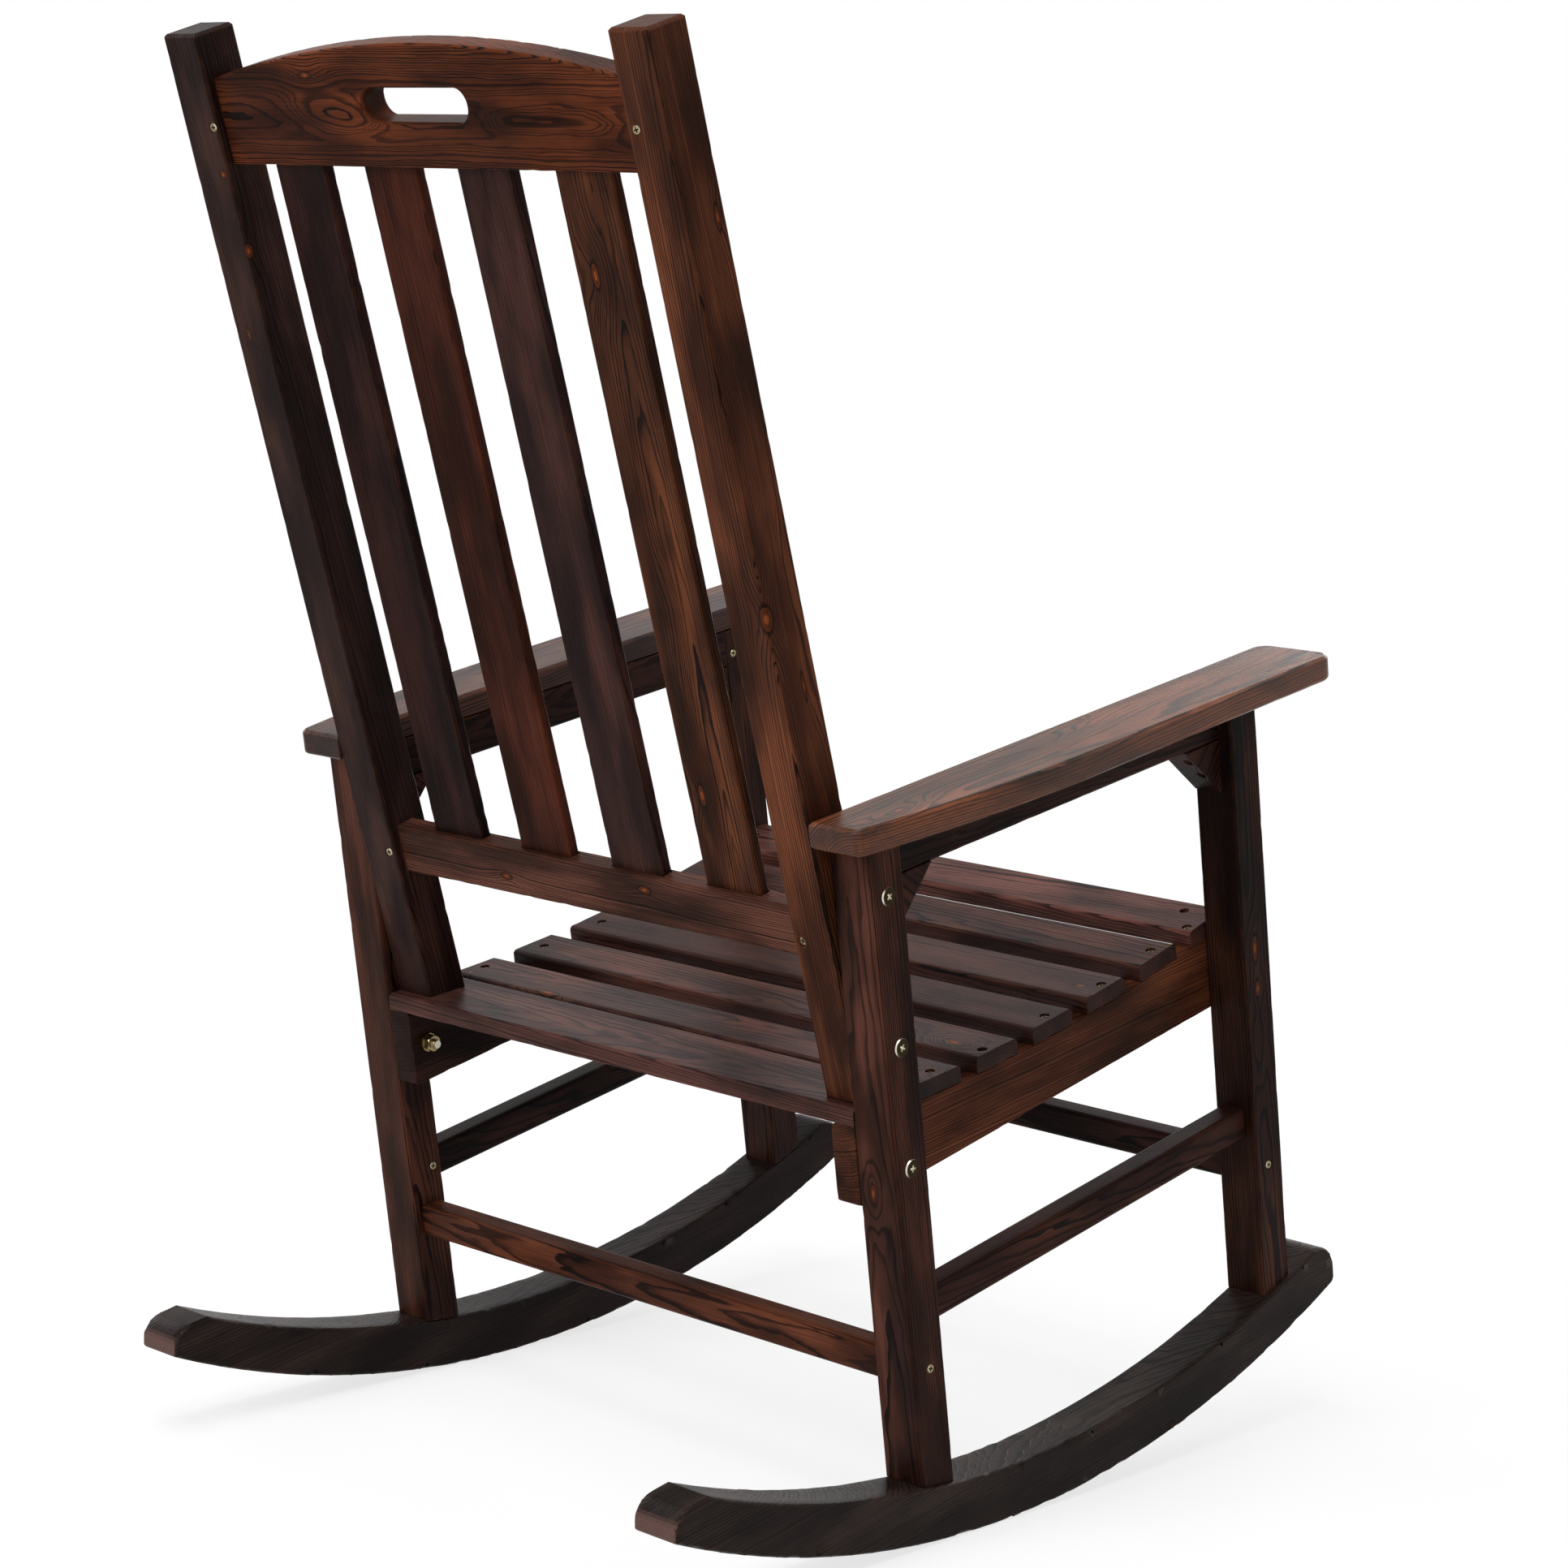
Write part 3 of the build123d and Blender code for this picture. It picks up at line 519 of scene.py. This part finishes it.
# The right arm's rubbed corners are a brighter orange, which also paints the glints along its edges.
worn_board("arm_right", REARWARD, ACROSS, 37.1, nick=0.5, wave=0.5, early="58301b", late="130805", ring=2.2,
           pith=(-14, 38), worn="7c4824", wear=0.6, gloss=0.2, char=0.3,
           knots=(((228, -4, 0), (34, 12, 1000), 7, 0.3), ((40, 10, 0), (70, 14, 1000), 9, 0),
                  ((-34, 30, 0), (8, 5, 1000), 1, 0.8)))
worn_board("arm_left", REARWARD, ACROSS, 38.1, nick=0.5, wave=0.5, early="44261b", late="140a08", ring=2.2,
           pith=(10, 38), gloss=0.12)
for side, hand in ((1, "left"), (-1, "right")):
    worn_board(f"arm_rail_{hand}", REARWARD, UP, 41.6 + side, early="2a1914", late="0d0807")
    # Two sunk screws hold each front bracket, through its sloping face.
    run = (REARWARD + UP).normalized()
    middle, slope = broad_face(f"arm_bracket_front_{hand}", (REARWARD - UP).normalized())
    sunk = [
        (middle + (ACROSS * side * x + run * y) * MM, slope, BRACKET_SCREW_SINK)
        for x, y in ((7, 14), (8, -7))
    ]
    for turn, place, screws in ((1, "rear", ()), (-1, "front", sunk)):
        worn_board(f"arm_bracket_{place}_{hand}", REARWARD * turn + UP, ACROSS, 45.2 + side * 3 + turn,
                   early="3a2018", late="100807", ring=3.0, pith=(30, 10), screws=screws)

# ---- Back ----------------------------------------------------------------
# Two leaning softwood posts, an arched crest rail with a hand slot, a lower rail
# and four slats whose ends are housed in the rails.

BACK_LEAN = REST_TILT + radians(8.2)
POST_UP = Vector((0, sin(BACK_LEAN), cos(BACK_LEAN)))
POST_REAR = Vector((0, cos(BACK_LEAN), -sin(BACK_LEAN)))


def post_screws(hand, *places):
    """Screws in a post's rear face, each given by its height and offset from the
    face's middle and how deep its head lies, in millimetres."""
    middle, aim = broad_face(f"back_post_{hand}", POST_REAR)
    return [(middle + POST_UP * climb * MM + ACROSS * off * MM, aim, sink) for climb, off, sink in places]


# The right post's rubbed corners are a brighter orange, which also paints the highlights on its edges.
# The lower screw of the right post was driven deeper than the other three.
worn_board("back_post_right", POST_UP, ACROSS, 53.3, early="522d1c", late="150a07", ring=2.2,
           pith=(-26, 30), worn="7c4824", wear=0.6, wander=12, char=0.45,
           screws=post_screws("right", (348, 11, 1.0), (-284.5, 12, 2.6)),
           knots=(((-18, -19, 20), (30, 14, 16), 9, 0.35), ((276, -20, -10), (24, 14, 7), 5, 0.4),
                  ((-80, -20, -3), (55, 14, 9), 9, 0.2), ((12, -20, -6), (60, 14, 8), 8, 0)))
worn_board("back_post_left", POST_UP, ACROSS, 54.3, early="301d18", late="0f0a0a", char=0.6, pith=(30, 40),
           screws=post_screws("left", (346, -15, 1.0), (-282.5, -12, 1.0)),
           knots=(((175, 4, 20), (20, 7, 16), 3, 0.3), ((245, -20, 20), (20, 8, 16), 3, 0.3),
                  ((308, -13.5, 21), (4, 4, 9), 0, 0.9)))
worn_board("crest_rail", ACROSS, POST_UP, 57.9, early="45200f", late="0c0504", ring=1.5, pith=(-11, 30),
           run=(0, 0), char=0.4, wander=9,
           knots=(((118, 24, 0), (26, 10, 1000), 5, 0.25), ((104, -3, 0), (46, 15, 1000), 9, 0),
                  ((69, -12, 0), (36, 11, 1000), 6, 0), ((-95, -11, 0), (24, 8, 1000), 4, 0),
                  ((-140, -12, 0), (46, 11, 1000), 7, 0), ((-192, -14, 0), (34, 10, 1000), 5, 0)))
worn_board("lower_back_rail", ACROSS, POST_UP, 58.9, early="4a2c22", late="1b100d", pith=(50, 16),
           char=0.35, knots=(((101, -5, 0), (18, 8, 1000), 4, 0.35), ((-64, 9, 0), (20, 9, 1000), 5, 0.35)))
worn_board("back_slat_1", POST_UP, ACROSS, 62.5, early="4a2817", late="100805", ring=1.8, pith=(-8, 20),
           wander=12, knots=(((207, 9, 0), (34, 13, 1000), 11, 0.3), ((-209, 13, 0), (32, 12, 1000), 11, 0.3),
                             ((-60, 4, 0), (60, 10, 1000), 7, 0)))
worn_board("back_slat_2", POST_UP, ACROSS, 63.5, early="361f1b", late="120a09", pith=(60, 12), char=0.5)
worn_board("back_slat_3", POST_UP, ACROSS, 64.5, early="3a1a10", late="120806", pith=(-50, 20), char=0.35)
worn_board("back_slat_4", POST_UP, ACROSS, 65.5, early="261310", late="0e0807", pith=(70, 16), char=0.35)

# ---- Screws and bolts ----------------------------------------------------
# Zinc-plated steel, passivated yellow, with a cross recess in each head. Screws
# are sunk in the seat slats and brackets and nearly flush in most of the posts and
# legs, and bolts stand proud.

SMEAR = 2.5 * MM


def zinc_plate(name, light, dark, shine):
    """Yellow-passivated zinc plate: a thin bright metal with a gold cast and smears."""
    material, node = blank_material(name)
    smear = node("TexNoise", {"Vector": node("TexCoord", out="Object"), "Scale": 1 / SMEAR, "Detail": 3.0})
    colour = node("Mix", {0: smear, 6: linear(light), 7: linear(dark)}, data_type="RGBA", out=2)
    rough = node("Math", smear, 0.3, shine, operation="MULTIPLY_ADD")
    shader = node("BsdfPrincipled", {"Base Color": colour, "Metallic": 1.0, "Roughness": rough})
    node("OutputMaterial", shader)
    return material


def make_screw_tree():
    """A screw at each point of the mesh, turned its way and by chance about its own
    axis: a bevelled head with a cross recess, and a shank that goes into the wood."""
    tree = bpy.data.node_groups.new("cross_recess_screw", "GeometryNodeTree")
    node = partial(put, tree)
    tree.interface.new_socket("Geometry", in_out="OUTPUT", socket_type="NodeSocketGeometry")
    for name, kind in (
        ("Geometry", "Geometry"), ("Radius", "Float"), ("High", "Float"), ("Rim", "Float"),
        ("Recess Long", "Float"), ("Recess Wide", "Float"), ("Recess Deep", "Float"),
        ("Shank Radius", "Float"), ("Shank Tip", "Float"), ("Shank Long", "Float"), ("Seed", "Int"),
        ("Face Metal", "Material"), ("Rim Metal", "Material"), ("Recess Metal", "Material"),
    ):
        tree.interface.new_socket(name, in_out="INPUT", socket_type="NodeSocket" + kind)
    start = tree.nodes.new("NodeGroupInput").outputs
    flat_radius = node("Math", start["Radius"], start["Rim"], operation="SUBTRACT")
    head = node("GeometryNodeMeshCone", {"Vertices": 36, "Radius Top": flat_radius,
                                         "Radius Bottom": start["Radius"], "Depth": start["High"]})
    lift = node("CombineXYZ", {"Z": start["High"]})
    through_top = node("Math", start["Recess Deep"], 2.0, operation="MULTIPLY")
    wings = []
    for long, wide in (("Recess Long", "Recess Wide"), ("Recess Wide", "Recess Long")):
        size = node("CombineXYZ", start[long], start[wide], through_top)
        wing = node("GeometryNodeMeshCube", {"Size": size})
        wings.append(node("GeometryNodeTransform", {"Geometry": wing, "Translation": lift}))
    head = node("GeometryNodeMeshBoolean", {"Mesh 1": head, "Mesh 2": wings}, operation="DIFFERENCE",
                solver="EXACT")
    # The flat face is 1, the recess 2 and the rim 0. The recess lies within a little
    # over half its length of the axis.
    spot = node("GeometryNodeInputPosition")
    height = node("SeparateXYZ", spot, out=2)
    at_top = node("Math", height, start["High"], 1e-6, operation="COMPARE")
    level = node("VectorMath", spot, (1, 1, 0), operation="MULTIPLY")
    inward = node("VectorMath", level, operation="LENGTH", out=1)
    inner = node("Math", inward, node("Math", start["Recess Long"], 0.55, operation="MULTIPLY"),
                 operation="LESS_THAN")
    sunk = node("Math", inner, node("Math", 1.0, at_top, operation="SUBTRACT"), operation="MULTIPLY")
    part = node("Math", sunk, 2.0, at_top, operation="MULTIPLY_ADD")
    head = node("GeometryNodeStoreNamedAttribute", {"Geometry": head, "Name": "part", "Value": part},
                data_type="INT", domain="FACE")
    shank = node("GeometryNodeMeshCone", {
        "Vertices": 16, "Radius Top": start["Shank Radius"], "Radius Bottom": start["Shank Tip"],
        "Depth": start["Shank Long"]})
    down = node("CombineXYZ", {"Z": node("Math", start["Shank Long"], -1.0, operation="MULTIPLY")})
    shank = node("GeometryNodeTransform", {"Geometry": shank, "Translation": down})
    screw = node("GeometryNodeJoinGeometry", {"Geometry": [head, shank]})
    aim = node("GeometryNodeInputNamedAttribute", {"Name": "aim"}, data_type="FLOAT_VECTOR")
    turn = node("FunctionNodeAlignRotationToVector", {"Vector": aim}, axis="Z")
    spin = node("FunctionNodeRandomValue", {2: 0.0, 3: pi / 2, "Seed": start["Seed"]}, out=1,
                data_type="FLOAT")
    twist = node("FunctionNodeAxisAngleToRotation", {"Axis": (0, 0, 1), "Angle": spin})
    turn = node("FunctionNodeRotateRotation", {"Rotation": turn, "Rotate By": twist},
                rotation_space="LOCAL")
    screws = node("GeometryNodeInstanceOnPoints", {"Points": start["Geometry"], "Instance": screw,
                                                   "Rotation": turn})
    made = node("GeometryNodeRealizeInstances", screws)
    for number, metal in enumerate(("Rim Metal", "Face Metal", "Recess Metal")):
        kind = node("GeometryNodeInputNamedAttribute", {"Name": "part"}, data_type="INT")
        chosen = node("Math", kind, float(number), 0.1, operation="COMPARE")
        made = node("GeometryNodeSetMaterial", {"Geometry": made, "Selection": chosen,
                                                "Material": start[metal]})
    put(tree, "NodeGroupOutput", made)
    return tree


screw_tree = make_screw_tree()
# The rim metal is near white, a painted highlight on the bevelled rims and in the bolts' recesses. The bolt
# face metal is near black, a painted dark reflection on the same zinc plate.
rim_zinc_painted_highlight = zinc_plate("bright_zinc_rim", "f0eadc", "c0b8a4", 0.12)
bolt_face_zinc_painted_dark = zinc_plate("yellow_zinc_bolt_face", "32270d", "161006", 0.28)
screw_zinc = zinc_plate("pale_zinc_screw_face", "b8ac88", "77694a", 0.25)
# The wood screws' recesses are near black, a painted shade.
recess_zinc_painted_shade = zinc_plate("stained_zinc_recess", "2a2014", "120d09", 0.5)
SHARP_METAL_ANGLE = radians(30)


def fastened(name, seats, tree, replaced=(), **values):
    """One piece that holds a tree's fastener at each seat, a place and the way it
    faces. Values fill the tree's inputs, with sizes in millimetres."""
    mesh = bpy.data.meshes.new(name)
    mesh.from_pydata([spot for spot, aim in seats], [], [])
    directions = mesh.attributes.new("aim", "FLOAT_VECTOR", "POINT")
    for entry, (spot, aim) in zip(directions.data, seats):
        entry.vector = aim
    piece = new_piece(name, mesh)
    maker = piece.modifiers.new("fasteners", "NODES")
    maker.node_group = tree
    sockets = {socket.name.replace(" ", "_"): socket for socket in tree.interface.items_tree
               if socket.in_out == "INPUT"}
    for key, value in values.items():
        size = isinstance(value, float)
        maker[sockets[key].identifier] = value * MM if size else value
    apply_modifiers(piece)
    piece.data.shade_smooth()
    piece.data.set_sharp_from_angle(angle=SHARP_METAL_ANGLE)
    if replaced:
        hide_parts(*replaced)
    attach(piece, "root")


fastened("wood_screws", screw_seats, screw_tree, Radius=3.7, High=0.7, Rim=0.5, Recess_Long=4.6,
         Recess_Wide=1.2, Recess_Deep=0.5, Shank_Radius=1.9, Shank_Tip=0.3, Shank_Long=12.0, Seed=3,
         Face_Metal=screw_zinc, Rim_Metal=rim_zinc_painted_highlight, Recess_Metal=recess_zinc_painted_shade)

# The height of the frame's plain bolt heads. The heads here are 15 mm wide, a
# little smaller than those.
BOLT_HEAD_HIGH = 2.4 * MM


def rear_fasteners(name):
    """Side, outer end, middle and length of each fastener of a node, without the
    front ones."""
    for side, low, high in fastener_boxes(name):
        middle = (low + high) / 2
        if middle.y > 0:
            yield side, max(abs(low.x), abs(high.x)), middle, high.x - low.x


for name, shown in (("seat_bolts", "seat_rail_bolts"), ("post_bolts", "post_foot_bolts")):
    seats, longest = [], 0.0
    for side, outer_end, middle, length in rear_fasteners(name):
        head_under = outer_end - BOLT_HEAD_HIGH
        seats.append((Vector((side * head_under, middle.y, middle.z)), ACROSS * side))
        longest = max(longest, length - BOLT_HEAD_HIGH)
    fastened(shown, seats, screw_tree, replaced=(name,), Radius=7.5, High=1.1, Rim=0.6, Recess_Long=5.8,
             Recess_Wide=1.6, Recess_Deep=1.1, Shank_Radius=3.7, Shank_Tip=3.4, Shank_Long=longest / MM,
             Seed=5, Face_Metal=bolt_face_zinc_painted_dark, Rim_Metal=rim_zinc_painted_highlight, Recess_Metal=rim_zinc_painted_highlight)

# ---- Washers and nuts ----------------------------------------------------
# Each rear seat bolt comes through the rail and ends in a washer and a hex nut,
# pressed steel plated like the bolts, with the bolt's thread showing past it.

nut_zinc = zinc_plate("yellow_zinc_nuts", "c8b68a", "5a4a30", 0.15)


def make_nut_tree():
    """A washer, a hex nut and a threaded bolt end at each point of the mesh."""
    tree = bpy.data.node_groups.new("washer_nut_and_thread", "GeometryNodeTree")
    node = partial(put, tree)
    tree.interface.new_socket("Geometry", in_out="OUTPUT", socket_type="NodeSocketGeometry")
    for name, kind in (
        ("Geometry", "Geometry"), ("Washer Radius", "Float"), ("Washer High", "Float"),
        ("Nut Radius", "Float"), ("Nut High", "Float"), ("Bolt Radius", "Float"), ("Bolt Proud", "Float"),
        ("Thread Pitch", "Float"), ("Metal", "Material"),
    ):
        tree.interface.new_socket(name, in_out="INPUT", socket_type="NodeSocket" + kind)
    start = tree.nodes.new("NodeGroupInput").outputs
    nut_top = node("Math", start["Washer High"], start["Nut High"], operation="ADD")
    # The nut is a hexagon whose outer corners are turned off by a wide cone.
    turned = node("Math", start["Nut Radius"], 0.90, operation="MULTIPLY")
    wide = node("Math", start["Nut Radius"], 1.5, operation="MULTIPLY")
    rounds = []
    for corners, top, bottom, high in (
        (36, start["Washer Radius"], start["Washer Radius"], start["Washer High"]),
        (6, start["Nut Radius"], start["Nut Radius"], nut_top),
        (36, turned, wide, nut_top),
        (24, start["Bolt Radius"], start["Bolt Radius"], start["Bolt Proud"]),
    ):
        rounds.append(node("GeometryNodeMeshCone", {"Vertices": corners, "Radius Top": top,
                                                    "Radius Bottom": bottom, "Depth": high}))
    washer, hexagon, blank, end = rounds
    nut = node("GeometryNodeMeshBoolean", {"Mesh 2": [hexagon, blank]}, operation="INTERSECT",
               solver="EXACT")
    turns = node("Math", start["Bolt Proud"], start["Thread Pitch"], operation="DIVIDE")
    spiral = node("GeometryNodeCurveSpiral", {
        "Resolution": 24, "Rotations": turns, "Start Radius": start["Bolt Radius"],
        "End Radius": start["Bolt Radius"], "Height": start["Bolt Proud"]})
    tooth = node("Math", start["Thread Pitch"], 0.3, operation="MULTIPLY")
    ridge = node("GeometryNodeCurvePrimitiveCircle", {"Resolution": 6, "Radius": tooth})
    thread = node("GeometryNodeCurveToMesh", {"Curve": spiral, "Profile Curve": ridge, "Fill Caps": True})
    stack = node("GeometryNodeJoinGeometry", {"Geometry": [washer, nut, end, thread]})
    aim = node("GeometryNodeInputNamedAttribute", {"Name": "aim"}, data_type="FLOAT_VECTOR")
    turn = node("FunctionNodeAlignRotationToVector", {"Vector": aim}, axis="Z")
    stacks = node("GeometryNodeInstanceOnPoints", {"Points": start["Geometry"], "Instance": stack,
                                                   "Rotation": turn})
    made = node("GeometryNodeRealizeInstances", stacks)
    made = node("GeometryNodeSetMaterial", {"Geometry": made, "Material": start["Metal"]})
    put(tree, "NodeGroupOutput", made)
    return tree


# A washer's outer side lies on its rail.
seats = [
    (Vector((side * rail_face, middle.y, middle.z)), -ACROSS * side)
    for side, rail_face, middle, length in rear_fasteners("seat_washers")
]
fastened("seat_bolt_nuts", seats, make_nut_tree(), replaced=("seat_washers", "seat_nuts"),
         Washer_Radius=8.0, Washer_High=1.6, Nut_Radius=7.5, Nut_High=6.5, Bolt_Radius=3.7, Bolt_Proud=12.0,
         Thread_Pitch=1.25, Metal=nut_zinc)

# ---- Floor ---------------------------------------------------------------
# A wide sheet of matt white studio paper, on which the rockers stand and cast a
# faint shadow.

# Metres: half the sheet, and the distances where its own shade fades to white.
FLOOR_REACH = 30.0
FADE_STARTS, FADE_ENDS = 0.9, 2.2
floor_mesh = bpy.data.meshes.new("floor")
corners = [(x * FLOOR_REACH, y * FLOOR_REACH, 0) for x, y in ((-1, -1), (1, -1), (1, 1), (-1, 1))]
floor_mesh.from_pydata(corners, [], [(0, 1, 2, 3)])
floor = new_piece("floor", floor_mesh)


def seen_directly(node):
    """1 where the camera, a gloss or a glass looks straight at the surround."""
    path = node("LightPath", out="Is Camera Ray").node.outputs
    direct = node("Math", path["Is Camera Ray"], path["Is Glossy Ray"], operation="MAXIMUM")
    return node("Math", direct, path["Is Transmission Ray"], operation="MAXIMUM")


paper, node = blank_material("white_studio_paper")
matt = node("BsdfDiffuse", linear("f4f4f4"))
glow = node("Emission", (1, 1, 1, 1), 1.0)
# The paper's own shade shows near the chair and fades out to plain white.
distance = node("VectorMath", node("TexCoord", out="Object"), operation="LENGTH", out=1)
white = node("MapRange", distance, FADE_STARTS, FADE_ENDS, 0.75, 1.0, interpolation_type="SMOOTHSTEP")
shown = node("MixShader", white, matt, glow)
node("OutputMaterial", node("MixShader", seen_directly(node), matt, shown))
floor_mesh.materials.append(paper)

# ---- Light and camera ----------------------------------------------------
# Soft lamps round the chair and a white surround. The camera stands behind the
# chair at the sitter's right, nearly as high as its back.

world = bpy.data.worlds.new("white_surround")
bpy.context.scene.world = world
world.use_nodes = True
world.node_tree.nodes.clear()
node = partial(put, world.node_tree)
# The surround lights the chair softly, and is plain white where it is seen.
SOFT_LIGHT = 0.32
soft = node("Background", (1, 1, 1, 1), SOFT_LIGHT)
white = node("Background", (1, 1, 1, 1), 1.0)
node("OutputWorld", node("MixShader", seen_directly(node), soft, white))

# Each lamp has its place and width in metres and its power in watts.
CHAIR_MIDDLE = Vector((0, 0, 0.55))
for name, spot, size, power in (
    ("overhead_softbox", (-0.2, 0.8, 3.2), 2.2, 76),
    ("rear_softbox", (0.4, 3.4, 1.9), 2.0, 66),
    ("side_softbox", (-3.2, 0.4, 1.6), 1.6, 4),
    ("front_softbox", (0.6, -3.2, 2.0), 2.0, 60),
    ("left_softbox", (3.2, 0.2, 1.6), 1.6, 25),
):
    lamp = bpy.data.lights.new(name, "AREA")
    lamp.shape, lamp.size, lamp.energy = "SQUARE", size, power
    lamp_object = new_piece(name, lamp)
    lamp_object.location = spot
    lamp_object.rotation_euler = (CHAIR_MIDDLE - Vector(spot)).to_track_quat("-Z", "Y").to_euler()

camera = bpy.data.cameras.new("camera")
camera.lens = 85.53
camera.sensor_width = 36
camera.shift_x = -0.0047
camera.shift_y = -0.0478
camera_object = new_piece("camera", camera)
camera_object.location = (-2.11968, 2.24226, 0.99500)
camera_object.rotation_euler = [radians(angle) for angle in (82.974, -2.324, -136.788)]
bpy.context.scene.camera = camera_object
bpy.context.scene.view_settings.view_transform = "Standard"
